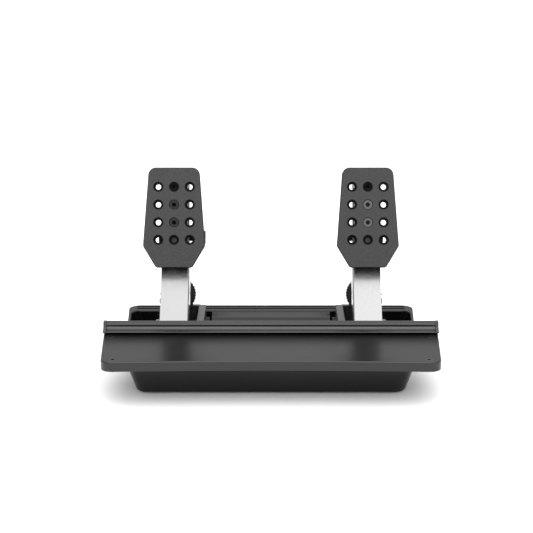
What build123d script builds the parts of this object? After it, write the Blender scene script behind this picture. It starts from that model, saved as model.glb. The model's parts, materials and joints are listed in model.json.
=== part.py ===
"""Sim racing pedal set: base tray with heel plate, brake on the left and throttle on the right.

Frame: +X to the driver's right, +Y away from the driver, +Z up, origin under the middle of the set.
Each pedal is drawn in its own lateral coordinate u, from the pedal's middle towards the set's middle.
"""
from build123d import *
import os
from math import cos, radians, sin, tan

os.makedirs("parts", exist_ok=True)

# ---- overall sizes (mm) ----
FOOT_H = 1.0
RIM_Z = 38.0
TRAY_REAR_Y = 104.5
TRAY_REAR_HALF = 155.5
TRAY_FRONT_Y = -75.0
TRAY_FRONT_HALF = 143.0
TRAY_DRAFT = 17.0
TRAY_CORNER_R = 12.0
TRAY_WALL = 3.0
FLOOR_T = 3.0
FLOOR_Z = FOOT_H + FLOOR_T
LEDGE_Y = 86.0

# ---- heel plate and its rail ----
HEEL_TOP_Z = 47.7
HEEL_SHELL_T = 3.2
HEEL_BACK_Y = -15.0
HEEL_BACK_HALF = 169.0
HEEL_FRONT_HALF = 161.8
HEEL_END_Y = -104.5
HEEL_MID_Y = -100.5
HEEL_CORNER_R = 11.0
HEEL_BASE_T = 2.5
RAIL_TOP_Z = 60.0
RAIL_CAP_T = 3.0
HEEL_SCREWS = [(160.7, -29.0), (150.7, -95.5)]
HEEL_SCREW_R = 4.0

# ---- pedal geometry in the YZ plane ----
PEDAL_X = 98.5
PIVOT = (3.0, 40.0)
PIN = (26.0, 71.0)
TRUNNION = (84.0, 58.5)
PAD_CENTRE = (22.3, 157.7)
PAD_LEAN = 17.0
PAD_T = 5.0
PAD_HALF_H = 51.0
HOLE_PITCH_X = 16.0
HOLE_ROWS = (31.2, 13.1, -5.0, -22.8)
SCREW_ROWS = (13.1, -5.0)
HOLE_R = 2.75
SINK_R = 5.4
PAD_SCREW_R = 4.6
PAD_SCREW_SINK = 0.4
PAD_SCREW_RIM = 0.35
PAD_RIM = 0.8
CARRIER_W = 26.0
ARM_FACE = 21.5
ARM_HALF = 14.4
HUB_R = 15.0
BOSS_END = -19.0
CHANNEL_HALF = 11.0
TONGUE_HALF = 6.0
CLAMP_UP = -19.0
CLAMP_BACK = 31.0
CLAMP_R = 3.0
KNOB_NECK_R = 3.9
KNOB_NECK_L = 4.4
KNOB_R = 7.0
FILLET_FROM_Z = 62.0

# ---- shaft, bracket and strut ----
SHAFT_R = 6.0
BUSH_R = 8.0
RUN_FIT = 0.05
SEAT_FIT = 0.01
WALL_OUT = (-27.0, -21.8)
FOOT_BOLT_ROWS = (24.0, 67.0)
WALL_IN = (21.5, 28.5)
FOOT_BOLT_ACROSS = (WALL_OUT[0] - 4.9, WALL_IN[1] + 6.0)
BRACKET_TOP_Z = 47.7
SIDE_BOLT = (62.0, 33.0)
SIDE_BOLT_R = 5.0
BASE_TOP_Z = 9.0
FOOT_Z = 4.1
FOOT_TAB_T = 4.0
LUG = (9.0, 14.0)
PIN_R = 4.0
EYE_BORE_R = 4.7
EYE_R = 8.5
ROD_R = 4.0
SLEEVE_R = 8.0
WHEEL_R = 18.5
WHEEL_T = 7.6
SWIVEL_HALF = 8.5
SWIVEL_R = 8.5
TRUNNION_R = 3.5

STRUT_DY = TRUNNION[0] - PIN[0]
STRUT_DZ = TRUNNION[1] - PIN[1]
STRUT_L = (STRUT_DY**2 + STRUT_DZ**2) ** 0.5
FLANGE_S = 12.0
FLANGE_T = 3.0
CELL_T = 6.0
SEAT_S = 39.0
SEAT_T = 3.0
WHEEL_S = SEAT_S + SEAT_T + 0.2
SLEEVE_S = 35.0

# name, middle of the pedal, direction towards the set's middle, knob length, pin offsets in the eye
PEDALS = [
    ("brake", -PEDAL_X, 1, 16.3, (0.07, 0.16)),
    ("throttle", PEDAL_X, -1, 14.0, (0.16, 0.27)),
]


def save(builder, label):
    builder.part.label = label
    export_step(builder.part, f"parts/{label}.step")


def trapezoid(half_front, y_front, half_back, y_back):
    """Corners of a plan outline that narrows towards the driver."""
    return [(-half_front, y_front), (half_front, y_front), (half_back, y_back), (-half_back, y_back)]


def tray_half(y):
    """Half-width of the tray's rim at a distance along the set."""
    share = (y - TRAY_FRONT_Y) / (TRAY_REAR_Y - TRAY_FRONT_Y)
    return TRAY_FRONT_HALF + share * (TRAY_REAR_HALF - TRAY_FRONT_HALF)


def tray_outline(z, inset, y_back):
    """Plan outline of the drafted pan at a height, moved in from the outer skin."""
    shrink = (RIM_Z - z) * tan(radians(TRAY_DRAFT)) + inset
    front = TRAY_FRONT_Y + shrink
    back = y_back - shrink
    corners = trapezoid(tray_half(front) - shrink, front, tray_half(back) - shrink, back)
    with BuildSketch(Plane.XY.offset(z)) as outline:
        with BuildLine():
            Polyline(*corners, close=True)
        make_face()
        fillet(outline.vertices(), TRAY_CORNER_R - inset)
    return outline


# ---- base tray: a drafted pan with a flat ledge along its rear rim ----
BOX_HALF = 36.0
BOX_FRONT_Y = 40.0
BOX_TOP_Z = 26.0
WINDOW_GAP = 0.6
FOOT_SPOTS = [(x, y) for x in (-118.0, 118.0) for y in (-44.0, 80.0)]
FOOT_R = 9.0
RIG_SPACING = (116.0, 96.0)
RIG_CENTRE_Y = 0.0
RIG_HOLE_R = 3.3
LEDGE_HOLLOW_Y = (89.0, 93.0)
LEDGE_HOLLOW_HALF = (45.0, 139.0)
LEDGE_GROOVES = (92.0, 98.4)
LEDGE_GROOVE_W = 5.4
LEDGE_GROOVE_HALF = 146.0
LEDGE_GROOVE_T = 0.6
COVE_HALF = 64.0
COVE_FRONT_Y = 72.0

with BuildPart() as base_tray:
    for height in (FOOT_H, RIM_Z):
        add(tray_outline(height, 0.0, TRAY_REAR_Y).sketch)
    loft()
    fillet(base_tray.edges().group_by(Axis.Z)[0], 3.5)
    for height in (FLOOR_Z, RIM_Z):
        with BuildSketch(Plane.XY.offset(height)):
            inset = TRAY_WALL + (RIM_Z - height) * tan(radians(TRAY_DRAFT))
            front = TRAY_FRONT_Y + inset
            inner = trapezoid(tray_half(front) - inset, front, tray_half(LEDGE_Y) - inset, LEDGE_Y)
            with BuildLine():
                Polyline(*inner, close=True)
            make_face()
            fillet(vertices(), TRAY_CORNER_R - TRAY_WALL)
    loft(mode=Mode.SUBTRACT)
    fillet(base_tray.edges().filter_by(Axis.X).group_by(Axis.Z)[-1].sort_by(Axis.Y)[1:3], 1.4)
    hollow_w = LEDGE_HOLLOW_HALF[1] - LEDGE_HOLLOW_HALF[0]
    with BuildSketch(Plane.XY.offset(FOOT_H)):
        for side in (-1, 1):
            with Locations((side * sum(LEDGE_HOLLOW_HALF) / 2, sum(LEDGE_HOLLOW_Y) / 2)):
                Rectangle(hollow_w, LEDGE_HOLLOW_Y[1] - LEDGE_HOLLOW_Y[0])
    extrude(amount=RIM_Z - FOOT_H - TRAY_WALL, mode=Mode.SUBTRACT)
    with BuildSketch(Plane.XY.offset(RIM_Z)):
        with Locations(*[(0, y) for y in LEDGE_GROOVES]):
            Rectangle(2 * LEDGE_GROOVE_HALF, LEDGE_GROOVE_W)
    extrude(amount=-LEDGE_GROOVE_T, mode=Mode.SUBTRACT)
    with BuildSketch(Plane.YZ.offset(-COVE_HALF)):
        with BuildLine():
            cove_low_z = BOX_TOP_Z + WINDOW_GAP
            ThreePointArc((LEDGE_Y, RIM_Z - 1.4), (80.4, 30.4), (COVE_FRONT_Y, cove_low_z + 1.2))
            Polyline(
                (COVE_FRONT_Y, cove_low_z + 1.2),
                (COVE_FRONT_Y, cove_low_z),
                (LEDGE_Y + 1.0, cove_low_z),
                (LEDGE_Y + 1.0, RIM_Z - 1.4),
                (LEDGE_Y, RIM_Z - 1.4),
            )
        make_face()
    extrude(amount=2 * COVE_HALF)
    with BuildSketch(Plane.XZ.offset(-TRAY_REAR_Y)):
        with Locations((0, (FLOOR_Z + BOX_TOP_Z + WINDOW_GAP) / 2)):
            Rectangle(2 * (BOX_HALF + WINDOW_GAP), BOX_TOP_Z + WINDOW_GAP - FLOOR_Z)
    extrude(amount=TRAY_REAR_Y - LEDGE_Y + 4.0, mode=Mode.SUBTRACT)
    with BuildSketch(Plane.XY.offset(FOOT_H)):
        with Locations(*FOOT_SPOTS):
            Circle(FOOT_R + 0.1)
    extrude(amount=1.0, mode=Mode.SUBTRACT)
    with BuildSketch(Plane.XY.offset(FLOOR_Z)):
        with Locations((0, RIG_CENTRE_Y)):
            with GridLocations(*RIG_SPACING, 2, 2):
                Circle(9.0)
                RegularPolygon(6.4, 6, mode=Mode.SUBTRACT)
    extrude(amount=5.0)
    with Locations((0, RIG_CENTRE_Y, FLOOR_Z + 5.0)):
        with GridLocations(*RIG_SPACING, 2, 2):
            Hole(RIG_HOLE_R)
save(base_tray, "base_tray")

with BuildPart() as rubber_feet:
    with BuildSketch(Plane.XY):
        with Locations(*FOOT_SPOTS):
            Circle(FOOT_R)
    extrude(amount=FOOT_H + 0.95)
    chamfer(rubber_feet.edges().group_by(Axis.Z)[0], 0.5)
save(rubber_feet, "rubber_feet")


# ---- heel plate: a shallow shell that overhangs the tray ----
def heel_outline(inset):
    """Plan outline of the heel plate with its front edge slightly hollow."""
    half_b = HEEL_BACK_HALF - inset
    half_f = HEEL_FRONT_HALF - inset
    with BuildSketch() as outline:
        with BuildLine():
            back = Line((-half_b, HEEL_BACK_Y - inset), (half_b, HEEL_BACK_Y - inset))
            right = Line(back @ 1, (half_f, HEEL_END_Y + inset))
            left = Line(back @ 0, (-half_f, HEEL_END_Y + inset))
            ThreePointArc(right @ 1, (0, HEEL_MID_Y + inset), left @ 1)
        make_face()
        fillet(outline.vertices().group_by(Axis.Y)[0], HEEL_CORNER_R - inset)
        fillet(outline.vertices().group_by(Axis.Y)[-1], 3.5 - inset * 0.9)
    return outline


with BuildPart() as heel_plate:
    with BuildSketch(Plane.XY.offset(RIM_Z)):
        add(heel_outline(0.0).sketch)
    extrude(amount=HEEL_TOP_Z - RIM_Z)
    fillet(heel_plate.edges().group_by(Axis.Z)[-1].sort_by(Axis.Y)[:-1], 1.6)
    with BuildSketch(Plane.XY.offset(RIM_Z)):
        add(heel_outline(3.0).sketch)
    extrude(amount=HEEL_TOP_Z - RIM_Z - HEEL_SHELL_T, mode=Mode.SUBTRACT)
    with BuildSketch(Plane.XY.offset(HEEL_TOP_Z - HEEL_SHELL_T)):
        with Locations(*[(side * x, y) for x, y in HEEL_SCREWS for side in (-1, 1)]):
            Circle(6.5)
    extrude(amount=-(HEEL_TOP_Z - HEEL_SHELL_T - RIM_Z - HEEL_BASE_T - 0.1))
    with Locations(*[(side * x, y, HEEL_TOP_Z) for x, y in HEEL_SCREWS for side in (-1, 1)]):
        CounterSinkHole(2.05, HEEL_SCREW_R + 0.25, counter_sink_angle=90)
save(heel_plate, "heel_plate")

with BuildPart() as heel_base:
    with BuildSketch(Plane.XY.offset(RIM_Z)):
        add(heel_outline(3.3).sketch)
        with BuildLine():
            Polyline(*trapezoid(TRAY_FRONT_HALF - 12, -62.0, TRAY_FRONT_HALF - 9, -22.0), close=True)
        make_face(mode=Mode.SUBTRACT)
    extrude(amount=HEEL_BASE_T)
    with BuildSketch(Plane.XY.offset(RIM_Z + HEEL_BASE_T)):
        for x in (-90.0, -30.0, 30.0, 90.0):
            with Locations((x, -81.0)):
                Rectangle(2.0, 30.0)
    extrude(amount=3.0)
    with Locations(*[(side * x, y, RIM_Z) for x, y in HEEL_SCREWS for side in (-1, 1)]):
        Hole(1.85)
save(heel_base, "heel_base")


def countersunk_screw(head_r, shank_r, length, sink, rim=0.0):
    """A countersunk socket screw pointing down, its flat face a sink below z = 0."""
    with BuildPart(mode=Mode.PRIVATE) as screw:
        with BuildSketch(Plane.XZ):
            with BuildLine():
                Polyline((0, -length), (0, -sink), (head_r, -sink))
                if rim:
                    Line((head_r, -sink), (head_r, -sink - rim))
                Polyline(
                    (head_r, -sink - rim),
                    (shank_r, -sink - rim - head_r + shank_r),
                    (shank_r, -length),
                    (0, -length),
                )
            make_face()
        revolve(axis=Axis.Z)
        with BuildSketch(Plane.XY.offset(-sink)):
            RegularPolygon(head_r * 0.52, 6)
        extrude(amount=-head_r * 0.45, mode=Mode.SUBTRACT)
    return screw.part


HEEL_SCREW = countersunk_screw(HEEL_SCREW_R, 1.8, 9.6, 0.2)
with BuildPart() as heel_plate_screws:
    with Locations(*[(side * x, y, HEEL_TOP_Z) for x, y in HEEL_SCREWS for side in (-1, 1)]):
        add(HEEL_SCREW)
save(heel_plate_screws, "heel_plate_screws")


# ---- heel rail: one section along X, hollow in front, with a lip that curls over the plate ----
RAIL_HALF = HEEL_BACK_HALF - 0.4
with BuildPart() as heel_rail:
    with BuildSketch(Plane.YZ.offset(-RAIL_HALF + RAIL_CAP_T)):
        with BuildLine():
            lip_tip = (HEEL_BACK_Y - 10.6, RAIL_TOP_Z - 8.4)
            ridge = (HEEL_BACK_Y - 4.4, RAIL_TOP_Z - 0.5)
            Polyline(
                (HEEL_BACK_Y - 4.5, HEEL_TOP_Z + 0.05),
                (HEEL_BACK_Y, HEEL_TOP_Z + 0.05),
                (HEEL_BACK_Y, RAIL_TOP_Z - 1.0),
                (HEEL_BACK_Y - 1.0, RAIL_TOP_Z),
                (HEEL_BACK_Y - 2.2, RAIL_TOP_Z),
                (HEEL_BACK_Y - 2.4, RAIL_TOP_Z - 1.6),
                (HEEL_BACK_Y - 3.2, RAIL_TOP_Z - 1.6),
                (HEEL_BACK_Y - 3.4, RAIL_TOP_Z - 0.1),
                ridge,
            )
            cove = [(HEEL_BACK_Y - 5.4, RAIL_TOP_Z - 4.2), (HEEL_BACK_Y - 7.6, RAIL_TOP_Z - 7.3)]
            Spline(ridge, *cove, lip_tip, tangents=[(0.0, -1.0), (-1.0, -0.05)])
            Polyline(
                lip_tip,
                (HEEL_BACK_Y - 11.2, RAIL_TOP_Z - 9.0),
                (HEEL_BACK_Y - 10.6, RAIL_TOP_Z - 9.6),
                (HEEL_BACK_Y - 6.0, RAIL_TOP_Z - 10.2),
                (HEEL_BACK_Y - 4.5, HEEL_TOP_Z + 0.05),
            )
        make_face()
    extrude(amount=2 * (RAIL_HALF - RAIL_CAP_T))
save(heel_rail, "heel_rail")

with BuildPart() as rail_end_caps:
    for start in (-RAIL_HALF, RAIL_HALF - RAIL_CAP_T + 0.05):
        with BuildSketch(Plane.YZ.offset(start)):
            with BuildLine():
                Polyline(
                    (HEEL_BACK_Y, HEEL_TOP_Z + 0.05),
                    (HEEL_BACK_Y, RAIL_TOP_Z + 0.1),
                    (HEEL_BACK_Y - 4.6, RAIL_TOP_Z - 0.3),
                    (HEEL_BACK_Y - 6.2, RAIL_TOP_Z - 5.2),
                    (HEEL_BACK_Y - 11.4, RAIL_TOP_Z - 8.2),
                    (HEEL_BACK_Y - 11.4, RAIL_TOP_Z - 9.8),
                    (HEEL_BACK_Y - 6.0, RAIL_TOP_Z - 10.4),
                    (HEEL_BACK_Y - 4.7, HEEL_TOP_Z + 0.05),
                    close=True,
                )
            make_face()
        extrude(amount=RAIL_CAP_T - 0.05)
save(rail_end_caps, "rail_end_caps")

# ---- electronics box between the pedals, with its sockets in the tray's rear window ----
BOX_BACK_Y = 96.0
BOX_WALL = 2.0
BOX_SPLIT_Z = 20.0
BOX_FLOOR_Z = FLOOR_Z + 0.05
BOX_MID_Y = (BOX_FRONT_Y + BOX_BACK_Y) / 2
BOX_LEN = BOX_BACK_Y - BOX_FRONT_Y
BOX_SCREWS = [(x, BOX_FRONT_Y + y) for x in (-BOX_HALF + 5.5, BOX_HALF - 5.5) for y in (5.5, 36.0)]
SOCKETS = [(-22.0, 13.0), (0.0, 13.0), (22.0, 9.0)]
SOCKET_Z = 14.0
SOCKET_H = 8.0

with BuildPart() as control_box_base:
    with BuildSketch(Plane.XY.offset(BOX_FLOOR_Z)):
        with Locations((0, BOX_MID_Y)):
            RectangleRounded(2 * BOX_HALF, BOX_LEN, 3.0)
    extrude(amount=BOX_SPLIT_Z - BOX_FLOOR_Z)
    with BuildSketch(Plane.XY.offset(BOX_FLOOR_Z + BOX_WALL)):
        with Locations((0, BOX_MID_Y)):
            RectangleRounded(2 * (BOX_HALF - BOX_WALL), BOX_LEN - 2 * BOX_WALL, 1.5)
    extrude(amount=BOX_SPLIT_Z, mode=Mode.SUBTRACT)
    with BuildSketch(Plane.XY.offset(BOX_FLOOR_Z + BOX_WALL)):
        with Locations(*BOX_SCREWS):
            Circle(3.4)
    extrude(amount=BOX_SPLIT_Z - BOX_FLOOR_Z - BOX_WALL - 0.1)
    with Locations(*[(x, y, BOX_SPLIT_Z) for x, y in BOX_SCREWS]):
        Hole(1.3, depth=11.0)
    with BuildSketch(Plane.XZ.offset(-BOX_BACK_Y)):
        for x, width in SOCKETS:
            with Locations((x, SOCKET_Z)):
                Rectangle(width + 0.1, SOCKET_H + 0.1)
    extrude(amount=BOX_WALL + 1.0, mode=Mode.SUBTRACT)
save(control_box_base, "control_box_base")

with BuildPart() as control_box_cover:
    with BuildSketch(Plane.XY.offset(BOX_SPLIT_Z + 0.05)):
        with Locations((0, BOX_MID_Y)):
            RectangleRounded(2 * BOX_HALF, BOX_LEN, 3.0)
    extrude(amount=BOX_TOP_Z - BOX_SPLIT_Z - 0.05)
    fillet(control_box_cover.edges().group_by(Axis.Z)[-1], 1.2)
    with BuildSketch(Plane.XY.offset(BOX_SPLIT_Z + 0.05)):
        with Locations((0, BOX_MID_Y)):
            RectangleRounded(2 * (BOX_HALF - BOX_WALL), BOX_LEN - 2 * BOX_WALL, 1.5)
        with Locations(*BOX_SCREWS):
            Circle(3.4, mode=Mode.SUBTRACT)
    extrude(amount=BOX_TOP_Z - BOX_SPLIT_Z - BOX_WALL, mode=Mode.SUBTRACT)
    with Locations(*[(x, y, BOX_TOP_Z) for x, y in BOX_SCREWS]):
        CounterBoreHole(1.6, 2.9, 2.4)
    with BuildSketch(Plane.XY.offset(BOX_TOP_Z)):
        with Locations((0, BOX_FRONT_Y + 20.0)):
            with GridLocations(6.0, 1.0, 6, 1):
                SlotOverall(16.0, 2.0, rotation=90)
    extrude(amount=-BOX_WALL - 0.5, mode=Mode.SUBTRACT)
save(control_box_cover, "control_box_cover")

with BuildPart() as control_board:
    with BuildSketch(Plane.XY.offset(BOX_FLOOR_Z + 4.0)):
        with Locations((0, BOX_MID_Y - 2.0)):
            Rectangle(2 * BOX_HALF - 20.0, BOX_LEN - 10.0)
    extrude(amount=1.6)
    with BuildSketch(Plane.XY.offset(BOX_FLOOR_Z + 5.6)):
        with Locations((0, BOX_MID_Y - 6.0)):
            Rectangle(10.0, 10.0)
        with Locations((-16.0, BOX_MID_Y - 2.0), (16.0, BOX_MID_Y - 2.0)):
            Rectangle(6.0, 9.0)
    extrude(amount=1.4)
save(control_board, "control_board")

with BuildPart() as control_box_sockets:
    for x, width in SOCKETS:
        with BuildSketch(Plane.XZ.offset(-BOX_BACK_Y - 0.6)):
            with Locations((x, SOCKET_Z)):
                RectangleRounded(width, SOCKET_H, 0.8)
        extrude(amount=11.0)
        with BuildSketch(Plane.XZ.offset(-BOX_BACK_Y - 0.6)):
            with Locations((x, SOCKET_Z)):
                RectangleRounded(width - 3.0, SOCKET_H - 3.0, 1.0)
        extrude(amount=8.0, mode=Mode.SUBTRACT)
save(control_box_sockets, "control_box_sockets")

with BuildPart() as control_box_screws:
    for x, y in BOX_SCREWS:
        with BuildSketch(Plane.XY.offset(BOX_TOP_Z - 2.35)):
            with Locations((x, y)):
                Circle(2.7)
        extrude(amount=2.0)
        with BuildSketch(Plane.XY.offset(BOX_TOP_Z - 2.35)):
            with Locations((x, y)):
                Circle(1.25)
        extrude(amount=-12.0)
        with BuildSketch(Plane.XY.offset(BOX_TOP_Z - 0.35)):
            with Locations((x, y)):
                RegularPolygon(1.3, 6)
        extrude(amount=-1.2, mode=Mode.SUBTRACT)
save(control_box_screws, "control_box_screws")

# ---- the two pedals ----
LEAN_SIN = sin(radians(PAD_LEAN))
LEAN_COS = cos(radians(PAD_LEAN))


def along_pad(up, back):
    """A YZ point measured up the pad and back from its front face."""
    return (
        PAD_CENTRE[0] + up * LEAN_SIN + back * LEAN_COS,
        PAD_CENTRE[1] + up * LEAN_COS - back * LEAN_SIN,
    )


def fluted_disc(radius, flutes, flute_r, depth):
    """A disc outline with grip flutes cut into its edge."""
    with BuildSketch(mode=Mode.PRIVATE) as outline:
        Circle(radius)
        with PolarLocations(radius + flute_r - depth, flutes):
            Circle(flute_r, mode=Mode.SUBTRACT)
    return outline.sketch


for pedal, mid_x, inward, knob_length, eye_shift in PEDALS:

    def across(u_low, u_high):
        """YZ plane and thickness of a slab between two lateral coordinates."""
        ends = sorted((mid_x + inward * u_low, mid_x + inward * u_high))
        return Plane.YZ.offset(ends[0]), ends[1] - ends[0]

    pad_plane = Plane((mid_x, *PAD_CENTRE), x_dir=(1, 0, 0), z_dir=(0, -LEAN_COS, LEAN_SIN))
    strut_plane = Plane((mid_x, *PIN), x_dir=(1, 0, 0), z_dir=(0, STRUT_DY / STRUT_L, STRUT_DZ / STRUT_L))

    # Bracket: base plate, tall inner wall, short outer wall, rear wall and two trunnion lugs.
    with BuildPart() as bracket:
        wall_plane, wall_t = across(*WALL_IN)
        with BuildSketch(wall_plane):
            with BuildLine():
                tall_wall = [(-7, FOOT_Z), (-7, 40), (8, 47.2), (14, BRACKET_TOP_Z)]
                tall_wall += [(76, BRACKET_TOP_Z), (80, 44), (80, FOOT_Z)]
                Polyline(*tall_wall, close=True)
            make_face()
            with Locations(PIVOT):
                Circle(10.0)
        extrude(amount=wall_t)
        fillet(bracket.edges().group_by(Axis.Z)[-1], 3.0)
        wall_plane, wall_t = across(*WALL_OUT)
        with BuildSketch(wall_plane):
            with Locations(PIVOT):
                Circle(10.0)
            with Locations((PIVOT[0], 22.0)):
                Rectangle(20.0, 35.8)
            with BuildLine():
                low_wall = [(PIVOT[0] + 10, 30), (46, 12), (80, 12), (80, FOOT_Z), (PIVOT[0], FOOT_Z)]
                low_wall += [(PIVOT[0], 30)]
                Polyline(*low_wall, close=True)
            make_face()
        extrude(amount=wall_t)
        base_plane, base_t = across(WALL_OUT[0], WALL_IN[1])
        with BuildSketch(base_plane):
            with Locations((36.5, (BASE_TOP_Z + FOOT_Z) / 2)):
                Rectangle(87.0, BASE_TOP_Z - FOOT_Z)
        extrude(amount=base_t)
        rear_plane, rear_t = across(LUG[1] - 1, WALL_IN[0] + 1)
        with BuildSketch(rear_plane):
            with Locations((77.5, 26.0)):
                Rectangle(5.0, 42.0)
        extrude(amount=rear_t)
        for side in (-1, 1):
            lug_plane, lug_t = across(side * LUG[0], side * LUG[1])
            with BuildSketch(lug_plane):
                with BuildLine():
                    lug_shape = [(76, FOOT_Z), (84.6, FOOT_Z), (84.6, 42), (92, 56), (TRUNNION[0], 60)]
                    Polyline(*lug_shape, (76, 57), close=True)
                make_face()
                with Locations(TRUNNION):
                    Circle(SWIVEL_R)
            extrude(amount=lug_t)
        cross_plane, cross_t = across(-LUG[1], LUG[1])
        with BuildSketch(cross_plane):
            with Locations((80.2, 24.0)):
                Rectangle(8.4, 36.0)
        extrude(amount=cross_t)
        with BuildSketch(Plane.XY.offset(FOOT_Z)):
            for y in FOOT_BOLT_ROWS:
                for u in (WALL_OUT[0] - 3.4, WALL_IN[1] + 5.0):
                    with Locations((mid_x + inward * u, y)):
                        RectangleRounded(13.0, 14.0, 3.0)
        extrude(amount=FOOT_TAB_T)
        for y in FOOT_BOLT_ROWS:
            for u in FOOT_BOLT_ACROSS:
                with Locations((mid_x + inward * u, y, FOOT_Z + FOOT_TAB_T)):
                    Hole(2.3, depth=FOOT_TAB_T + 0.2)
        bore_plane, bore_t = across(-40, 40)
        with BuildSketch(bore_plane):
            with Locations(PIVOT):
                Circle(BUSH_R + SEAT_FIT)
            with Locations(TRUNNION):
                Circle(TRUNNION_R + RUN_FIT)
        extrude(amount=bore_t, mode=Mode.SUBTRACT)
    save(bracket, f"{pedal}_bracket")

    with BuildPart() as bracket_bolts:
        for y in FOOT_BOLT_ROWS:
            for u in FOOT_BOLT_ACROSS:
                with BuildSketch(Plane.XY.offset(FOOT_Z + FOOT_TAB_T + 0.05)):
                    with Locations((mid_x + inward * u, y)):
                        Circle(4.2)
                        RegularPolygon(2.1, 6, mode=Mode.SUBTRACT)
                extrude(amount=4.0)
                with BuildSketch(Plane.XY.offset(9.5)):
                    with Locations((mid_x + inward * u, y)):
                        Circle(2.2)
                extrude(amount=-5.4)
        side_plane, side_t = across(WALL_IN[1] + 0.05, WALL_IN[1] + 4.5)
        with BuildSketch(side_plane):
            with Locations(SIDE_BOLT):
                Circle(SIDE_BOLT_R)
                RegularPolygon(2.6, 6, mode=Mode.SUBTRACT)
        extrude(amount=side_t)
        floor_plane, floor_t = across(WALL_IN[1] + 0.05, WALL_IN[1] + 1.6)
        with BuildSketch(floor_plane):
            with Locations(SIDE_BOLT):
                Circle(SIDE_BOLT_R - 0.4)
        extrude(amount=floor_t)
    save(bracket_bolts, f"{pedal}_bracket_bolts")

    # Pivot: the shaft turns with the arm in two flanged bushes pressed into the bracket.
    with BuildPart() as pivot_shaft:
        shaft_plane, shaft_t = across(-31.0, 31.5)
        with BuildSketch(shaft_plane):
            with Locations(PIVOT):
                Circle(SHAFT_R)
        extrude(amount=shaft_t)
        for groove in (-28.9, 29.0):
            groove_plane, groove_t = across(groove - 0.1, groove + 1.2)
            with BuildSketch(groove_plane):
                with Locations(PIVOT):
                    Circle(SHAFT_R + 1)
                    Circle(SHAFT_R - 0.8, mode=Mode.SUBTRACT)
            extrude(amount=groove_t, mode=Mode.SUBTRACT)
    save(pivot_shaft, f"{pedal}_pivot_shaft")

    with BuildPart() as shaft_clips:
        for groove in (-28.9, 29.0):
            clip_plane, clip_t = across(groove, groove + 1.0)
            with BuildSketch(clip_plane):
                with Locations(PIVOT):
                    Circle(SHAFT_R + 2.2)
                    Circle(SHAFT_R - 0.75, mode=Mode.SUBTRACT)
                with Locations((PIVOT[0], PIVOT[1] - SHAFT_R)):
                    Rectangle(7.0, 8.0, mode=Mode.SUBTRACT)
            extrude(amount=clip_t)
    save(shaft_clips, f"{pedal}_shaft_clips")

    with BuildPart() as pivot_bushes:
        sleeves = [(span, BUSH_R) for span in (WALL_IN, WALL_OUT)]
        flange_spans = ((ARM_HALF + 0.3, WALL_IN[0]), (WALL_OUT[1], BOSS_END - 0.3))
        flanges = [(span, BUSH_R + 2.0) for span in flange_spans]
        for span, radius in sleeves + flanges:
            bush_plane, bush_t = across(*span)
            with BuildSketch(bush_plane):
                with Locations(PIVOT):
                    Circle(radius)
            extrude(amount=bush_t)
        bore_plane, bore_t = across(-40, 40)
        with BuildSketch(bore_plane):
            with Locations(PIVOT):
                Circle(SHAFT_R + RUN_FIT)
        extrude(amount=bore_t, mode=Mode.SUBTRACT)
    save(pivot_bushes, f"{pedal}_pivot_bushes")

    with BuildPart() as magnet:
        magnet_plane, magnet_t = across(-33.0, -31.0)
        with BuildSketch(magnet_plane):
            with Locations(PIVOT):
                Circle(3.5)
        extrude(amount=magnet_t)
    save(magnet, f"{pedal}_magnet")

    with BuildPart() as position_sensor:
        cup_plane, cup_t = across(-39.0, WALL_OUT[0] - 0.1)
        with BuildSketch(cup_plane):
            with Locations((PIVOT[0], 37.5)):
                RectangleRounded(22.0, 23.0, 4.0)
        extrude(amount=cup_t)
        hollow_plane, hollow_t = across(-35.0, WALL_OUT[0])
        with BuildSketch(hollow_plane):
            with Locations(PIVOT):
                Circle(9.0)
        extrude(amount=hollow_t, mode=Mode.SUBTRACT)
        plug_plane, plug_t = across(-37.5, -31.0)
        with BuildSketch(plug_plane):
            with Locations((PIVOT[0], 24.0)):
                Rectangle(9.0, 6.0)
        extrude(amount=plug_t)
    save(position_sensor, f"{pedal}_position_sensor")

    # Arm: a cast lever, hollow at the back over the strut and slotted in front for the pad carrier.
    with BuildPart() as arm:
        arm_plane, arm_t = across(-ARM_HALF, ARM_HALF)
        with BuildSketch(arm_plane):
            with BuildLine():
                face_low = (-7.4, 57.0)
                face_high = along_pad(-46.0, ARM_FACE)
                back_high = along_pad(-40.0, ARM_FACE + 20.0)
                hub_front = (PIVOT[0] - HUB_R, PIVOT[1] + 1.0)
                hub_back = (PIVOT[0] + HUB_R, PIVOT[1] + 1.0)
                Line(hub_front, face_low)
                Spline(face_low, (7.6, 74.2), face_high, tangents=[(0.62, 0.78), (LEAN_SIN, LEAN_COS)])
                Polyline(
                    face_high,
                    along_pad(32.0, ARM_FACE),
                    along_pad(36.0, ARM_FACE + 4.0),
                    along_pad(36.0, ARM_FACE + 13.0),
                    along_pad(33.0, ARM_FACE + 16.0),
                    back_high,
                )
                Spline(back_high, (38.5, 72.0), hub_back, tangents=[(-0.3, -0.95), (-0.25, -0.97)])
                ThreePointArc(hub_back, (PIVOT[0], PIVOT[1] - HUB_R), hub_front)
            make_face()
        extrude(amount=arm_t)
        boss_plane, boss_t = across(BOSS_END, -ARM_HALF + 3.0)
        with BuildSketch(boss_plane):
            with Locations(PIVOT):
                Circle(HUB_R - 0.5)
        extrude(amount=boss_t)
        channel_plane, channel_t = across(-CHANNEL_HALF, CHANNEL_HALF)
        with BuildSketch(channel_plane) as channel:
            with BuildLine():
                Polyline((9, 62), (30, 92), (34, 100), (60, 92), (60, 46), (22, 57), close=True)
            make_face()
            fillet(channel.vertices().sort_by(Axis.Y)[0:2], 2.0)
        extrude(amount=channel_t, mode=Mode.SUBTRACT)
        slot_plane, slot_t = across(-TONGUE_HALF - 0.15, TONGUE_HALF + 0.15)
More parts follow.
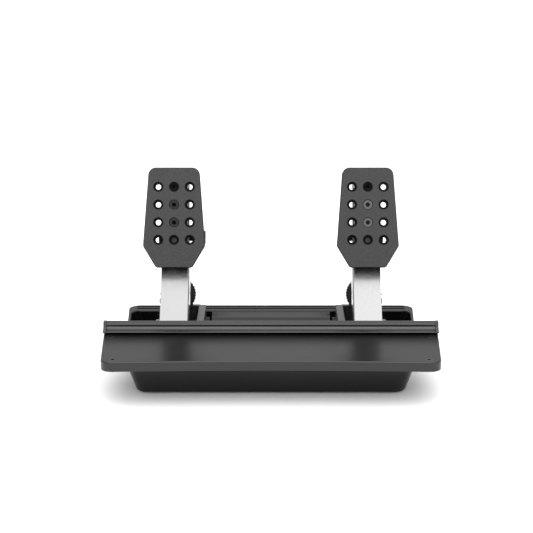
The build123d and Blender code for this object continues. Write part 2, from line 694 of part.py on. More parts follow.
        with BuildSketch(slot_plane):
            with BuildLine():
                Polyline(
                    along_pad(28.0, ARM_FACE - 1),
                    along_pad(28.0, ARM_FACE + 12.5),
                    along_pad(-42.0, ARM_FACE + 16.0),
                    along_pad(-42.0, ARM_FACE - 1),
                    close=True,
                )
            make_face()
        extrude(amount=slot_t, mode=Mode.SUBTRACT)
        bore_plane, bore_t = across(-40, 40)
        with BuildSketch(bore_plane):
            with Locations(PIVOT):
                Circle(SHAFT_R + SEAT_FIT)
            with Locations(PIN):
                Circle(PIN_R + SEAT_FIT)
            with Locations(along_pad(CLAMP_UP, CLAMP_BACK)):
                Circle(CLAMP_R + SEAT_FIT)
        extrude(amount=bore_t, mode=Mode.SUBTRACT)
        cheeks = arm.faces().filter_by(Axis.X).group_by(SortBy.AREA)[-1]
        rims = [edge for face in cheeks for edge in face.outer_wire().edges()]
        fillet([edge for edge in rims if edge.center().Z > FILLET_FROM_Z], 1.5)
    save(arm, f"{pedal}_arm")

    with BuildPart() as clevis_pin:
        pin_head = (-ARM_HALF - 2.2, -ARM_HALF - 0.05)
        for span, radius in (((-ARM_HALF, ARM_HALF), PIN_R), (pin_head, PIN_R + 2.0)):
            pin_plane, pin_t = across(*span)
            with BuildSketch(pin_plane):
                with Locations(PIN):
                    Circle(radius)
            extrude(amount=pin_t)
        neck_plane, neck_t = across(-ARM_HALF - 0.1, -ARM_HALF + 0.1)
        with BuildSketch(neck_plane):
            with Locations(PIN):
                Circle(PIN_R)
        extrude(amount=neck_t)
    save(clevis_pin, f"{pedal}_clevis_pin")

    with BuildPart() as clamp_bolt:
        for span, radius in (
            ((-ARM_HALF - 0.1, ARM_HALF + 9.0), CLAMP_R),
            ((-ARM_HALF - 3.2, -ARM_HALF - 0.05), CLAMP_R + 2.6),
        ):
            bolt_plane, bolt_t = across(*span)
            with BuildSketch(bolt_plane):
                with Locations(along_pad(CLAMP_UP, CLAMP_BACK)):
                    Circle(radius)
            extrude(amount=bolt_t)
        socket_plane, socket_t = across(-ARM_HALF - 3.3, -ARM_HALF - 1.6)
        with BuildSketch(socket_plane):
            with Locations(along_pad(CLAMP_UP, CLAMP_BACK)):
                RegularPolygon(2.6, 6)
        extrude(amount=socket_t, mode=Mode.SUBTRACT)
    save(clamp_bolt, f"{pedal}_clamp_bolt")

    with BuildPart() as clamp_knob:
        knob_base = (mid_x + inward * (ARM_HALF + 0.3), *along_pad(CLAMP_UP, CLAMP_BACK))
        knob_plane = Plane(knob_base, z_dir=(inward, 0, 0))
        with BuildSketch(knob_plane):
            Circle(KNOB_NECK_R)
        extrude(amount=KNOB_NECK_L)
        with BuildSketch(knob_plane.offset(KNOB_NECK_L - 0.1)):
            add(fluted_disc(KNOB_R, 12, 1.4, 0.6))
        extrude(amount=knob_length - KNOB_NECK_L - 0.2)
        chamfer(clamp_knob.faces().sort_by(Axis.X)[-1 if inward > 0 else 0].edges(), 0.5)
        with BuildSketch(knob_plane):
            Circle(CLAMP_R + RUN_FIT)
        extrude(amount=10.0, mode=Mode.SUBTRACT)
    save(clamp_knob, f"{pedal}_clamp_knob")

    # Pad: a carrier block whose tongue slides in the arm, and the perforated plate screwed to it.
    with BuildPart() as pad_carrier:
        with BuildSketch(pad_plane.offset(-PAD_T - 0.05)):
            with Locations((0, 4.0)):
                RectangleRounded(CARRIER_W, 68.0, 4.0)
        extrude(amount=-(ARM_FACE - PAD_T - 0.35))
        chamfer(pad_carrier.faces().sort_by(Axis.Y)[-1].edges(), 0.6)
        with BuildSketch(pad_plane.offset(-ARM_FACE + 1.0)):
            with Locations((0, -8.0)):
                Rectangle(2 * TONGUE_HALF, 48.0)
        extrude(amount=-13.0)
        with BuildSketch(pad_plane.offset(-PAD_T)):
            with Locations(*[(0, row) for row in HOLE_ROWS[:3]]):
                Circle(2.45)
        extrude(amount=-12.0, mode=Mode.SUBTRACT)
        clamp_plane, clamp_t = across(-TONGUE_HALF - 1, TONGUE_HALF + 1)
        with BuildSketch(clamp_plane):
            with Locations(along_pad(CLAMP_UP, CLAMP_BACK)):
                SlotOverall(2 * CLAMP_R + 11.0, 2 * CLAMP_R + 0.4, rotation=90 - PAD_LEAN)
        extrude(amount=clamp_t, mode=Mode.SUBTRACT)
    save(pad_carrier, f"{pedal}_pad_carrier")

    with BuildPart() as pad_plate:
        with BuildSketch(pad_plane) as plate_outline:
            with BuildLine():
                right_side = [(25.7, PAD_HALF_H), (31.6, -29.0), (18.4, -PAD_HALF_H)]
                Polyline(*right_side, *[(-x, y) for x, y in reversed(right_side)], close=True)
            make_face()
            fillet(plate_outline.vertices().group_by(Axis.Y)[-1], 8.0)
            fillet(plate_outline.vertices().group_by(Axis.Y)[0], 4.0)
            fillet(plate_outline.vertices().sort_by(Axis.X)[0], 5.0)
            fillet(plate_outline.vertices().sort_by(Axis.X)[-1], 5.0)
        extrude(amount=-PAD_T)
        chamfer(pad_plate.faces().sort_by(Axis.Y)[0].edges(), PAD_RIM)
        columns = (-HOLE_PITCH_X, 0, HOLE_PITCH_X)
        with Locations(pad_plane):
            with Locations(*[(x, row, 0) for row in HOLE_ROWS for x in columns]):
                CounterSinkHole(HOLE_R, SINK_R, counter_sink_angle=90)
    save(pad_plate, f"{pedal}_pad_plate")

    pad_screw = countersunk_screw(PAD_SCREW_R, 2.4, 15.0, PAD_SCREW_SINK, PAD_SCREW_RIM)
    with BuildPart() as pad_screws:
        with Locations(pad_plane):
            with Locations(*[(0, row, 0) for row in SCREW_ROWS]):
                add(pad_screw)
    save(pad_screws, f"{pedal}_pad_screws")

    # Strut: the eye on the arm's pin carries a guide rod that slides through the swivel block.
    with BuildPart() as rod_eye:
        eye_plane, eye_t = across(-7.0, 7.0)
        with BuildSketch(eye_plane):
            with Locations(PIN):
                Circle(EYE_R)
        extrude(amount=eye_t)
        with BuildSketch(strut_plane.offset(4.0)):
            Circle(6.0)
        extrude(amount=FLANGE_S - 3.0)
        with BuildSketch(strut_plane.offset(FLANGE_S)):
            Circle(10.5)
        extrude(amount=FLANGE_T)
        with BuildSketch(eye_plane):
            shift_y = (eye_shift[0] * STRUT_DY - eye_shift[1] * STRUT_DZ) / STRUT_L
            shift_z = (eye_shift[0] * STRUT_DZ + eye_shift[1] * STRUT_DY) / STRUT_L
            with Locations((PIN[0] + shift_y, PIN[1] + shift_z)):
                Circle(EYE_BORE_R)
        extrude(amount=eye_t, mode=Mode.SUBTRACT)
        with BuildSketch(strut_plane.offset(FLANGE_S - 2.5)):
            Circle(ROD_R + SEAT_FIT)
        extrude(amount=8.0, mode=Mode.SUBTRACT)
    save(rod_eye, f"{pedal}_rod_eye")

    with BuildPart() as guide_rod:
        with BuildSketch(strut_plane.offset(FLANGE_S - 2.4)):
            Circle(ROD_R)
        extrude(amount=STRUT_L + 14.5 - FLANGE_S + 2.4)
        chamfer(guide_rod.edges().sort_by(Axis.Y)[-1], 0.6)
    save(guide_rod, f"{pedal}_guide_rod")

    with BuildPart() as end_nut:
        with BuildSketch(strut_plane.offset(STRUT_L + SWIVEL_R + 0.3)):
            RegularPolygon(7.0, 6)
            Circle(ROD_R + SEAT_FIT, mode=Mode.SUBTRACT)
        extrude(amount=4.0)
    save(end_nut, f"{pedal}_end_nut")

    with BuildPart() as swivel_block:
        with BuildSketch(strut_plane.offset(STRUT_L - SWIVEL_R + 0.2)):
            Rectangle(2 * SWIVEL_HALF, 15.0)
        extrude(amount=2 * SWIVEL_R - 0.3)
        with BuildSketch(strut_plane.offset(SLEEVE_S)):
            Circle(SLEEVE_R)
        extrude(amount=STRUT_L - SLEEVE_S)
        with BuildSketch(strut_plane.offset(SLEEVE_S - 1)):
            Circle(ROD_R + RUN_FIT)
        extrude(amount=STRUT_L, mode=Mode.SUBTRACT)
        for side in (-1, 1):
            hole_plane, hole_t = across(side * 4.9, side * 9.0)
            with BuildSketch(hole_plane):
                with Locations(TRUNNION):
                    Circle(TRUNNION_R + SEAT_FIT)
            extrude(amount=hole_t, mode=Mode.SUBTRACT)
    save(swivel_block, f"{pedal}_swivel_block")

    with BuildPart() as trunnion_pins:
        for side in (-1, 1):
            pin_plane, pin_t = across(side * 5.0, side * (LUG[1] + 0.8))
            with BuildSketch(pin_plane):
                with Locations(TRUNNION):
                    Circle(TRUNNION_R)
            extrude(amount=pin_t)
            head_plane, head_t = across(side * (LUG[1] + 0.3), side * (LUG[1] + 2.3))
            with BuildSketch(head_plane):
                with Locations(TRUNNION):
                    Circle(TRUNNION_R + 1.8)
            extrude(amount=head_t)
    save(trunnion_pins, f"{pedal}_trunnion_pins")

    with BuildPart() as spring_seat:
        with BuildSketch(strut_plane.offset(SEAT_S)):
            Circle(11.5)
            Circle(SLEEVE_R + 0.1, mode=Mode.SUBTRACT)
        extrude(amount=SEAT_T)
    save(spring_seat, f"{pedal}_spring_seat")

    with BuildPart() as preload_wheel:
        with BuildSketch(strut_plane.offset(WHEEL_S)):
            add(fluted_disc(WHEEL_R, 36, 1.2, 0.7))
        extrude(amount=WHEEL_T)
        with BuildSketch(strut_plane.offset(WHEEL_S + WHEEL_T)):
            Circle(WHEEL_R - 3.0)
            Circle(SLEEVE_R + 3.0, mode=Mode.SUBTRACT)
        extrude(amount=-1.2, mode=Mode.SUBTRACT)
        with BuildSketch(strut_plane.offset(WHEEL_S - 1)):
            Circle(SLEEVE_R + RUN_FIT)
        extrude(amount=WHEEL_T + 2, mode=Mode.SUBTRACT)
    save(preload_wheel, f"{pedal}_preload_wheel")

    spring_start = FLANGE_S + FLANGE_T + (CELL_T + 0.2 if pedal == "brake" else 0.0) + 0.1
    spring_length = SEAT_S - 0.1 - spring_start
    coil_wire = 1.3
    coil_r = 9.0
    coil_turns = 3.5 if pedal == "brake" else 4.5
    with BuildPart() as return_spring:
        coil_rise = spring_length - 2 * coil_wire
        coil_plane = strut_plane.offset(spring_start + coil_wire)
        with BuildLine() as coil:
            pitch = coil_rise / coil_turns
            Helix(pitch, coil_rise, coil_r, center=coil_plane.origin, direction=coil_plane.z_dir)
        with BuildSketch(Plane(coil.line @ 0, z_dir=coil.line % 0)):
            Circle(coil_wire)
        sweep(path=coil.line, is_frenet=True)
    save(return_spring, f"{pedal}_return_spring")

    if pedal == "brake":
        with BuildPart() as load_cell:
            with BuildSketch(strut_plane.offset(FLANGE_S + FLANGE_T + 0.1)):
                Circle(10.2)
                Circle(ROD_R + 0.2, mode=Mode.SUBTRACT)
            extrude(amount=CELL_T)
            with BuildSketch(strut_plane.offset(FLANGE_S + FLANGE_T + 0.1)):
                with Locations((0, 10.5)):
                    Rectangle(5.0, 4.0)
            extrude(amount=CELL_T)
        save(load_cell, "brake_load_cell")

        with BuildPart() as elastomer_rings:
            for index in range(2):
                with BuildSketch(strut_plane.offset(spring_start + 0.1 + 5.3 * index)):
                    Circle(7.2)
                    Circle(ROD_R + 0.3, mode=Mode.SUBTRACT)
                extrude(amount=5.0)
        save(elastomer_rings, "brake_elastomer_rings")

    with BuildPart() as bump_stop:
        with BuildSketch(Plane.XY.offset(BASE_TOP_Z + 0.05)):
            with Locations((mid_x, 48.0)):
                Circle(8.0)
        extrude(amount=16.0)
        with BuildSketch(Plane.XY.offset(BASE_TOP_Z + 16.0)):
            with Locations((mid_x, 48.0)):
                Circle(6.5)
        extrude(amount=6.0, taper=12)
    save(bump_stop, f"{pedal}_bump_stop")
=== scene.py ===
"""The look of the sim racing pedal set: camera, soft studio, materials and finely drawn pieces."""
import json
from math import cos, pi, radians, sin

import bmesh
import bpy
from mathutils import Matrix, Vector


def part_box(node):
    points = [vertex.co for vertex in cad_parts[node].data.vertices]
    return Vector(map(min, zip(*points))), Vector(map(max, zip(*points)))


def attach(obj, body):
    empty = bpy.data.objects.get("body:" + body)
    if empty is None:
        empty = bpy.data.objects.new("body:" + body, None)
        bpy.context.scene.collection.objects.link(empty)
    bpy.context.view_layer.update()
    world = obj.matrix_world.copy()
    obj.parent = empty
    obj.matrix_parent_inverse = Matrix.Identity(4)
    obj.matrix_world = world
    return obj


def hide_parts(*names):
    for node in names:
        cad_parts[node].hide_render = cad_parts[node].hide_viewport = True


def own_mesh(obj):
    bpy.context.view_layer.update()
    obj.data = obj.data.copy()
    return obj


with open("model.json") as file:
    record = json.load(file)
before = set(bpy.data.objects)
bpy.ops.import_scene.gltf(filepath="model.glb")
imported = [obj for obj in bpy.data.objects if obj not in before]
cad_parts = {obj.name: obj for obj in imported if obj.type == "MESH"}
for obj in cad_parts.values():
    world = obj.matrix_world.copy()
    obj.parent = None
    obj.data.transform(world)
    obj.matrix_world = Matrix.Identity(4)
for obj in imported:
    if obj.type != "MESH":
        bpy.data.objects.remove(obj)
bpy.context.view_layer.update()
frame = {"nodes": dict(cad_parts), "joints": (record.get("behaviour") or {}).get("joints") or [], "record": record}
NODES = frame["nodes"]
JOINTS = {joint["name"]: joint for joint in frame["joints"]}
PEDALS = ("brake", "throttle")
MM = 0.001
STRUT_AXIS = Vector(JOINTS["brake_rod_slide"]["axis"])
PAD_UP = Vector(JOINTS["brake_pad_height"]["axis"])
PAD_FACING = Vector((0.0, -PAD_UP.z, PAD_UP.y))

# ---- camera ----
LENS_MM = 89.1
PITCH_DOWN = 16.0
CAMERA_AT = Vector((0.0, -1.2795, 0.4792))
SHIFT_X = -0.0083
SENSOR_MM = 36.0
FAR_LIMIT = 50.0


def make_camera():
    data = bpy.data.cameras.new("view")
    data.lens = LENS_MM
    data.sensor_width = SENSOR_MM
    data.shift_x = SHIFT_X
    data.clip_end = FAR_LIMIT
    camera = bpy.data.objects.new("view", data)
    camera.location = CAMERA_AT
    camera.rotation_euler = (radians(90.0 - PITCH_DOWN), 0.0, 0.0)
    bpy.context.scene.collection.objects.link(camera)
    bpy.context.scene.camera = camera


make_camera()
bpy.context.scene.view_settings.view_transform = "Standard"


# ---- studio ----
SKY_TILT = (0.0, -0.15, 0.989)
SKY_REACH = (0.0, 1.0)
SKY_LEVELS = (0.08, 1.75)
FLOOR_HALF = 12.0
FLOOR_WHITE = 0.95
FLOOR_ROUGHNESS = 0.9
FLOOR_SPECULAR = 0.1
# name, direction the light travels, angular size in degrees, power
SUNS = [
    ("key", (0.1, 0.8, -1.0), 66.0, 1.5),
    ("fill", (-0.6, 0.35, -0.8), 70.0, 0.45),
    ("back", (0.0, -0.8, -0.75), 60.0, 0.25),
]


def add_object(name, data):
    made = bpy.data.objects.new(name, data)
    bpy.context.scene.collection.objects.link(made)
    return made


def sun(name, direction, spread, power):
    """A soft, distant light that shines along a direction."""
    data = bpy.data.lights.new(name, "SUN")
    data.energy = power
    data.angle = radians(spread)
    light = add_object(name, data)
    light.rotation_euler = Vector(direction).to_track_quat("-Z", "Y").to_euler()


def make_sky():
    """A white surround that is dimmer low down behind the set than overhead and in front."""
    world = bpy.data.worlds.new("studio")
    world.use_nodes = True
    tree = world.node_tree
    direction = tree.nodes.new("ShaderNodeTexCoord").outputs["Generated"]
    tilt = tree.nodes.new("ShaderNodeVectorMath")
    tilt.operation = "DOT_PRODUCT"
    tilt.inputs[1].default_value = SKY_TILT
    tree.links.new(direction, tilt.inputs[0])
    levels = tree.nodes.new("ShaderNodeMapRange")
    levels.inputs["From Min"].default_value, levels.inputs["From Max"].default_value = SKY_REACH
    levels.inputs["To Min"].default_value, levels.inputs["To Max"].default_value = SKY_LEVELS
    tree.links.new(tilt.outputs["Value"], levels.inputs["Value"])
    backdrop = tree.nodes["Background"]
    backdrop.inputs["Color"].default_value = (1.0, 1.0, 1.0, 1.0)
    tree.links.new(levels.outputs["Result"], backdrop.inputs["Strength"])
    bpy.context.scene.world = world


def make_floor():
    mesh = bpy.data.meshes.new("floor")
    corners = [(x * FLOOR_HALF, y * FLOOR_HALF, 0.0) for x, y in ((-1, -1), (1, -1), (1, 1), (-1, 1))]
    mesh.from_pydata(corners, [], [(0, 1, 2, 3)])
    floor = add_object("floor", mesh)
    coating = bpy.data.materials.new("floor_paint")
    coating.use_nodes = True
    shader = coating.node_tree.nodes["Principled BSDF"]
    shader.inputs["Base Color"].default_value = (FLOOR_WHITE, FLOOR_WHITE, FLOOR_WHITE, 1.0)
    shader.inputs["Roughness"].default_value = FLOOR_ROUGHNESS
    shader.inputs["Specular IOR Level"].default_value = FLOOR_SPECULAR
    mesh.materials.append(coating)


make_sky()
make_floor()
for light in SUNS:
    sun(*light)


# ---- materials ----
# noise values below this, or within this of 1, count as the ends of a range
RAMP_EDGE = 0.3
# the share of a recess's depth over which its painted shade comes in
MASK_SOFTNESS = 0.3
# noise scales, in cells a metre
CLOUDS = 18.0
DRIFT = 35.0
POLISH = 60.0
WAVES = 240.0
SCUFFS = 400.0
FINE = 1800.0
GRAIN = 2600.0


class Surface:
    """A Principled material built up in layers: colour drift, varied roughness and fine bumps."""

    def __init__(self, name, color, roughness, metallic=0.0, specular=0.5):
        self.material = bpy.data.materials.new(name)
        self.material.use_nodes = True
        self.tree = self.material.node_tree
        self.shader = self.tree.nodes["Principled BSDF"]
        self.shader.inputs["Metallic"].default_value = metallic
        self.shader.inputs["Specular IOR Level"].default_value = specular
        self.place = self.node("ShaderNodeTexCoord").outputs["Object"]
        self.color, self.roughness = color, roughness
        self.height = None

    def node(self, kind, **settings):
        made = self.tree.nodes.new(kind)
        for key, value in settings.items():
            setattr(made, key, value)
        return made

    def join(self, source, made, socket):
        self.tree.links.new(source, made.inputs[socket])

    def noise(self, scale, detail=3.0, stretch=(1.0, 1.0, 1.0)):
        mapping = self.node("ShaderNodeMapping")
        mapping.inputs["Scale"].default_value = stretch
        self.join(self.place, mapping, "Vector")
        texture = self.node("ShaderNodeTexNoise")
        texture.inputs["Scale"].default_value = scale
        texture.inputs["Detail"].default_value = detail
        self.join(mapping.outputs["Vector"], texture, "Vector")
        return texture.outputs["Fac"]

    def spread(self, source, low, high):
        """A noise value stretched over the range from low to high."""
        scaled = self.node("ShaderNodeMapRange")
        scaled.inputs["From Min"].default_value = RAMP_EDGE
        scaled.inputs["From Max"].default_value = 1.0 - RAMP_EDGE
        scaled.inputs["To Min"].default_value = low
        scaled.inputs["To Max"].default_value = high
        self.join(source, scaled, "Value")
        return scaled.outputs["Result"]

    def tint(self, scale, share, detail=4.0, stretch=(1.0, 1.0, 1.0)):
        """Colour drifts either side of the base colour by a share of it."""
        ramp = self.node("ShaderNodeValToRGB")
        for element, factor in zip(ramp.color_ramp.elements, (1.0 - share, 1.0 + share)):
            element.color = (*[min(1.0, c * factor) for c in self.color], 1.0)
        ramp.color_ramp.elements[0].position = RAMP_EDGE
        ramp.color_ramp.elements[1].position = 1.0 - RAMP_EDGE
        self.join(self.noise(scale, detail, stretch), ramp, "Fac")
        self.join(ramp.outputs["Color"], self.shader, "Base Color")
        return self

    def polish(self, scale, share, stretch=(1.0, 1.0, 1.0)):
        """Roughness varies by a share either side of its own value."""
        low, high = self.roughness * (1.0 - share), self.roughness * (1.0 + share)
        self.join(self.spread(self.noise(scale, 4.0, stretch), low, high), self.shader, "Roughness")
        return self

    def paint_shade_below(self, point, normal, depth, share):
        """Paints shade, dimming colour and shine, on what lies deeper than a depth behind a plane, such as the
        recesses in a plate.
        """
        behind = self.node("ShaderNodeVectorMath", operation="SUBTRACT")
        behind.inputs[0].default_value = point
        self.join(self.place, behind, 1)
        along = self.node("ShaderNodeVectorMath", operation="DOT_PRODUCT")
        along.inputs[1].default_value = normal
        self.join(behind.outputs["Vector"], along, 0)
        edge = self.node("ShaderNodeMapRange")
        edge.inputs["From Min"].default_value = depth * (1.0 - MASK_SOFTNESS)
        edge.inputs["From Max"].default_value = depth
        edge.inputs["To Min"].default_value = 1.0
        edge.inputs["To Max"].default_value = share
        self.join(along.outputs["Value"], edge, "Value")
        color = self.shader.inputs["Base Color"].links[0].from_socket
        gloss = self.shader.inputs["Specular IOR Level"].default_value
        dim = self.node("ShaderNodeVectorMath", operation="SCALE")
        self.join(color, dim, 0)
        self.join(edge.outputs["Result"], dim, "Scale")
        self.join(dim.outputs["Vector"], self.shader, "Base Color")
        shine = self.node("ShaderNodeMath", operation="MULTIPLY")
        shine.inputs[1].default_value = gloss
        self.join(edge.outputs["Result"], shine, 0)
        self.join(shine.outputs["Value"], self.shader, "Specular IOR Level")
        return self

    def grain(self, scale, depth, strength=1.0, stretch=(1.0, 1.0, 1.0), detail=2.0):
        """A bump layer of a given depth in metres, on top of the ones before it."""
        bump = self.node("ShaderNodeBump")
        bump.inputs["Distance"].default_value = depth
        bump.inputs["Strength"].default_value = strength
        self.join(self.noise(scale, detail, stretch), bump, "Height")
        self.stack(bump)
        return self

    def stack(self, bump):
        """Puts a bump on top of the ones before it."""
        if self.height is not None:
            self.join(self.height, bump, "Normal")
        self.height = bump.outputs["Normal"]
        self.join(self.height, self.shader, "Normal")

    def rings(self, axis, pitch, depth):
        """Fine ridges across an axis, as on a thread."""
        along = self.node("ShaderNodeVectorMath", operation="DOT_PRODUCT")
        along.inputs[1].default_value = axis
        self.join(self.place, along, 0)
        phase = self.node("ShaderNodeMath", operation="MULTIPLY")
        phase.inputs[1].default_value = 2.0 * pi / pitch
        self.join(along.outputs["Value"], phase, 0)
        wave = self.node("ShaderNodeMath", operation="SINE")
        self.join(phase.outputs["Value"], wave, 0)
        bump = self.node("ShaderNodeBump")
        bump.inputs["Distance"].default_value = depth
        self.join(wave.outputs["Value"], bump, "Height")
        self.stack(bump)
        return self


def plastic(name, color, roughness, specular, grain_depth, drift=0.12):
    """A moulded surface with a fine grain over gentle waves."""
    surface = Surface(name, color, roughness, specular=specular)
    surface.tint(DRIFT, drift).polish(POLISH, drift)
    return surface.grain(GRAIN, grain_depth, 0.6).grain(WAVES, grain_depth * 0.8, 0.3)


def metal(name, color, roughness, stretch, grain_depth, drift=0.05):
    """A metal surface whose grain can be stretched along an axis."""
    surface = Surface(name, color, roughness, metallic=1.0)
    surface.tint(CLOUDS, drift).polish(SCUFFS, 0.18, stretch)
    return surface.grain(FINE, grain_depth, 0.5, stretch)


THREAD_PITCH = 1.2 * MM
THREAD_DEPTH = 0.12 * MM
# depth behind the pads' front past which painted shade darkens their recesses
RECESS_DEPTH = 0.45 * MM
# depth behind the pads' front past which painted shade darkens the screws' sockets
SOCKET_DEPTH = 0.9 * MM
EVEN = (1.0, 1.0, 1.0)
BRUSHED = (0.1, 1.0, 1.0)
# colour, roughness, specular level, grain depth in metres and, where it isn't the usual one, drift
PLASTICS = {
    "tray_plastic": ((0.0035, 0.0035, 0.0037), 0.22, 0.38, 1.5e-5),
    "heel_plastic": ((0.009, 0.009, 0.0093), 0.29, 0.5, 4e-6, 0.05),
    "rail_plastic": ((0.012, 0.012, 0.0125), 0.3, 0.7, 2.5e-5),
    "box_plastic": ((0.02, 0.02, 0.022), 0.5, 0.4, 5e-5),
    "wheel_plastic": ((0.008, 0.008, 0.009), 0.38, 0.45, 2e-5),
    "rubber": ((0.012, 0.012, 0.012), 0.75, 0.3, 6e-5),
    "elastomer": ((0.55, 0.12, 0.02), 0.5, 0.4, 2e-5),
    "board": ((0.008, 0.07, 0.025), 0.35, 0.5, 2e-5),
    "carrier_coat": ((0.02, 0.02, 0.021), 0.5, 0.4, 3e-5),
}
# colour, roughness, stretch of the grain, grain depth in metres and, where it isn't the usual one, drift
METALS = {
    "arm_metal": ((0.235, 0.235, 0.237), 0.2, EVEN, 1e-6, 0.015),
    "bracket_metal": ((0.2, 0.2, 0.205), 0.38, EVEN, 2e-5),
    "steel": ((0.62, 0.62, 0.63), 0.28, BRUSHED, 1e-5),
    "black_steel": ((0.03, 0.03, 0.032), 0.4, EVEN, 1e-5),
    "grey_screw": ((0.13, 0.13, 0.133), 0.4, EVEN, 1e-5),
    "spring_steel": ((0.66, 0.66, 0.68), 0.25, EVEN, 1e-5),
    "bronze": ((0.55, 0.33, 0.13), 0.42, EVEN, 2e-5),
    "socket_metal": ((0.5, 0.5, 0.52), 0.32, EVEN, 1e-5),
    "threaded_steel": ((0.6, 0.6, 0.62), 0.3, EVEN, 1e-5),
    "brake_screw": ((0.028, 0.028, 0.028), 0.35, EVEN, 6e-6),
    "throttle_screw": ((0.1, 0.1, 0.1), 0.35, EVEN, 6e-6),
}
PAD_COLOR = (0.026, 0.026, 0.0275)
PAD_ROUGHNESS = 0.5
PAD_SPECULAR = 0.4
# what is left of the colour and shine under the painted shade in a pad's recesses and in its screws' sockets
RECESS_SHADE_SHARE = 0.2
SOCKET_SHADE_SHARE = 0.1


def pad_front():
    """A point on the pad plates' front plane."""
    return max((vertex.co for vertex in NODES["brake_pad_plate"].data.vertices), key=PAD_FACING.dot)


def pad_coat(front, facing):
    """A coarse, speckled coat, with painted shade darkening the pads' recesses."""
    pad = Surface("pad_coat", PAD_COLOR, PAD_ROUGHNESS, specular=PAD_SPECULAR)
    pad.tint(700.0, 0.3, 6.0).polish(500.0, 0.2).grain(2400.0, 5e-5, 0.8).grain(600.0, 4e-5, 0.4)
    return pad.paint_shade_below(front, facing, RECESS_DEPTH, RECESS_SHADE_SHARE)


def make_materials():
    front = tuple(pad_front())
    facing = tuple(PAD_FACING)
    made = {"pad_coat": pad_coat(front, facing)}
    for name, look in PLASTICS.items():
        made[name] = plastic(name, *look)
    for name, look in METALS.items():
        made[name] = metal(name, *look)
    for pedal in PEDALS:
        # painted shade in the pad screws' sockets
        made[f"{pedal}_screw"].paint_shade_below(front, facing, SOCKET_DEPTH, SOCKET_SHADE_SHARE)
    made["threaded_steel"].rings(STRUT_AXIS, THREAD_PITCH, THREAD_DEPTH)
    return {name: surface.material for name, surface in made.items()}


MATERIALS = make_materials()


def paint(item, name):
    """Gives an object one material, in place of any it came with."""
    item.data.materials.clear()
    item.data.materials.append(MATERIALS[name])


for part in frame["record"]["subparts"]:
    paint(NODES[part["node"]], part["material_slot"])
for pedal in PEDALS:
    paint(NODES[f"{pedal}_guide_rod"], "threaded_steel")
    paint(NODES[f"{pedal}_pad_screws"], f"{pedal}_screw")


# ---- finely drawn pieces ----
COIL_R = 9.0 * MM
COIL_WIRE = 1.25 * MM
COIL_TURNS = {"brake": 3.4, "throttle": 4.4}
# steps in one turn of a coil
COIL_STEPS = 28
WIRE_RESOLUTION = 5
# how far a closed end turn climbs, in wire radii
CLOSED_RISE = 2.05
RING_COUNT = 2
RING_FILL = 0.97
RING_OUTER = (6.1 * MM, 7.1 * MM)
RING_INNER = 4.4 * MM
RING_SWELL = 0.6
RING_STEPS = 12
LATHE_STEPS = 72
# degrees between faces past which the rail's edges stay sharp
SHARP_ANGLE = 50.0
# points (y, z) in millimetres from the top rear corner of the rail's box
RAIL_OUTLINE = [
    (-4.5, -12.2), (0.0, -12.2), (0.0, -0.8), (-0.2, -0.3), (-0.6, 0.0), (-1.4, 0.0), (-1.7, -0.2),
    (-1.9, -0.7), (-1.95, -1.7), (-2.2, -2.0), (-2.6, -2.05), (-2.9, -1.95), (-3.4, -2.05), (-3.9, -2.4),
    (-4.2, -2.9), (-4.25, -3.5), (-4.05, -4.1), (-3.95, -4.8), (-4.1, -5.5), (-4.5, -6.2), (-5.2, -6.9),
    (-6.2, -7.5), (-7.4, -7.95), (-8.8, -8.25), (-10.0, -8.5), (-10.8, -8.8), (-11.15, -9.1), (-11.0, -9.4),
    (-10.5, -9.6), (-8.0, -9.9), (-6.0, -10.2), (-5.0, -10.8),
]


def middle(node):
    low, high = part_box(node)
    return (low + high) / 2.0


def span_along(node, axis, start):
    """How far a node reaches along an axis, from a point on it."""
    reach = [(vertex.co - start).dot(axis) for vertex in NODES[node].data.vertices]
    return min(reach), max(reach)


def solid_piece(name, points, faces, sharp=None):
    """A smooth-shaded piece with its faces turned outwards, and edges past an angle left sharp."""
    mesh = bpy.data.meshes.new(name)
    mesh.from_pydata(points, [], faces)
    shape = bmesh.new()
    shape.from_mesh(mesh)
    bmesh.ops.recalc_face_normals(shape, faces=shape.faces)
    for face in shape.faces:
        face.smooth = True
    if sharp is not None:
        for edge in shape.edges:
            edge.smooth = edge.calc_face_angle(0.0) < radians(sharp)
    shape.to_mesh(mesh)
    shape.free()
    return add_object(name, mesh)


def finish_piece(piece, slot, body, node):
    """Gives a drawn piece its material and puts it in the place of a node."""
    piece.data.materials.append(MATERIALS[slot])
    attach(piece, body)
    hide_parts(node)


def squash_on_rod(piece):
    """Gives a piece its own copy of its mesh."""
    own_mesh(piece)


def coil_height(index, count, room):
    """How far along a spring a point of its wire lies, with one closed turn at each end."""
    rise = CLOSED_RISE * COIL_WIRE
    if index <= COIL_STEPS:
        return rise * index / COIL_STEPS
    if index >= count - COIL_STEPS:
        return room - rise * (count - index) / COIL_STEPS
    return rise + (room - 2.0 * rise) * (index - COIL_STEPS) / (count - 2 * COIL_STEPS)


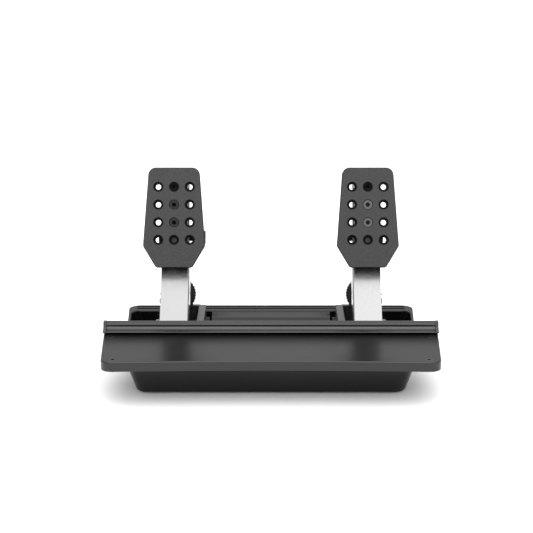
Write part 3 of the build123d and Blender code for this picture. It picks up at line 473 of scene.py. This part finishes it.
def coil_piece(name, start, axis, length, turns):
    """A compression spring with closed ends."""
    side = axis.orthogonal().normalized()
    up = axis.cross(side)
    count = int((turns + 2.0) * COIL_STEPS)
    curve = bpy.data.curves.new(name, "CURVE")
    curve.dimensions = "3D"
    curve.bevel_depth = COIL_WIRE
    curve.bevel_resolution = WIRE_RESOLUTION
    curve.use_fill_caps = True
    spline = curve.splines.new("POLY")
    spline.points.add(count)
    room = length - 2.0 * COIL_WIRE
    for index in range(count + 1):
        angle = 2.0 * pi * index / COIL_STEPS
        along = coil_height(index, count, room) + COIL_WIRE
        place = start + axis * along + (side * cos(angle) + up * sin(angle)) * COIL_R
        spline.points[index].co = (*place, 1.0)
    spring = add_object(name, curve)
    depsgraph = bpy.context.evaluated_depsgraph_get()
    mesh = bpy.data.meshes.new_from_object(spring.evaluated_get(depsgraph))
    bpy.data.objects.remove(spring)
    mesh.name = name
    for polygon in mesh.polygons:
        polygon.use_smooth = True
    return add_object(name, mesh)


def make_springs():
    for pedal in PEDALS:
        node = f"{pedal}_return_spring"
        seat = middle(f"{pedal}_spring_seat")
        low, high = span_along(node, STRUT_AXIS, seat)
        start = seat + STRUT_AXIS * low
        spring = coil_piece(f"{pedal}_coil", start, STRUT_AXIS, high - low, COIL_TURNS[pedal])
        finish_piece(spring, "spring_steel", f"{pedal}_swivel", node)
        squash_on_rod(spring)


def lathe(name, start, axis, profile):
    """A ring turned about an axis from a closed list of distances along it and radii."""
    side = axis.orthogonal().normalized()
    up = axis.cross(side)
    points, faces = [], []
    count = len(profile)
    for step in range(LATHE_STEPS):
        angle = 2.0 * pi * step / LATHE_STEPS
        outward = side * cos(angle) + up * sin(angle)
        points += [start + axis * along + outward * radius for along, radius in profile]
        here = step * count
        after = (step + 1) % LATHE_STEPS * count
        for index in range(count):
            ahead = (index + 1) % count
            faces.append((here + index, here + ahead, after + ahead, after + index))
    return solid_piece(name, points, faces)


def barrel_profile(length):
    """Half the section of a ring whose outside bulges in the middle."""
    slim, wide = RING_OUTER
    profile = []
    for step in range(RING_STEPS + 1):
        share = step / RING_STEPS
        profile.append((share * length, slim + (wide - slim) * sin(pi * share) ** RING_SWELL))
    return profile + [(length, RING_INNER), (0.0, RING_INNER)]


def make_elastomers():
    """Barrel-shaped rings along the brake's strut."""
    node = "brake_elastomer_rings"
    seat = middle("brake_spring_seat")
    low, high = span_along(node, STRUT_AXIS, seat)
    pitch = (high - low) / RING_COUNT
    for number in range(RING_COUNT):
        start = seat + STRUT_AXIS * (low + pitch * number)
        ring = lathe(f"brake_elastomer_{number + 1}", start, STRUT_AXIS, barrel_profile(pitch * RING_FILL))
        finish_piece(ring, "elastomer", "brake_swivel", node)
        squash_on_rod(ring)


def make_rail():
    """The heel rail, with its rolled edge, its groove and its hollow front drawn finely."""
    low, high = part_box("heel_rail")
    outline = [(high.y + y * MM, high.z + z * MM) for y, z in RAIL_OUTLINE]
    count = len(outline)
    points = [(x, y, z) for x in (low.x, high.x) for y, z in outline]
    faces = [(i, (i + 1) % count, count + (i + 1) % count, count + i) for i in range(count)]
    faces += [tuple(reversed(range(count))), tuple(range(count, 2 * count))]
    rail = solid_piece("rail_profile", points, faces, SHARP_ANGLE)
    finish_piece(rail, "rail_plastic", "base", "heel_rail")


make_springs()
make_elastomers()
make_rail()
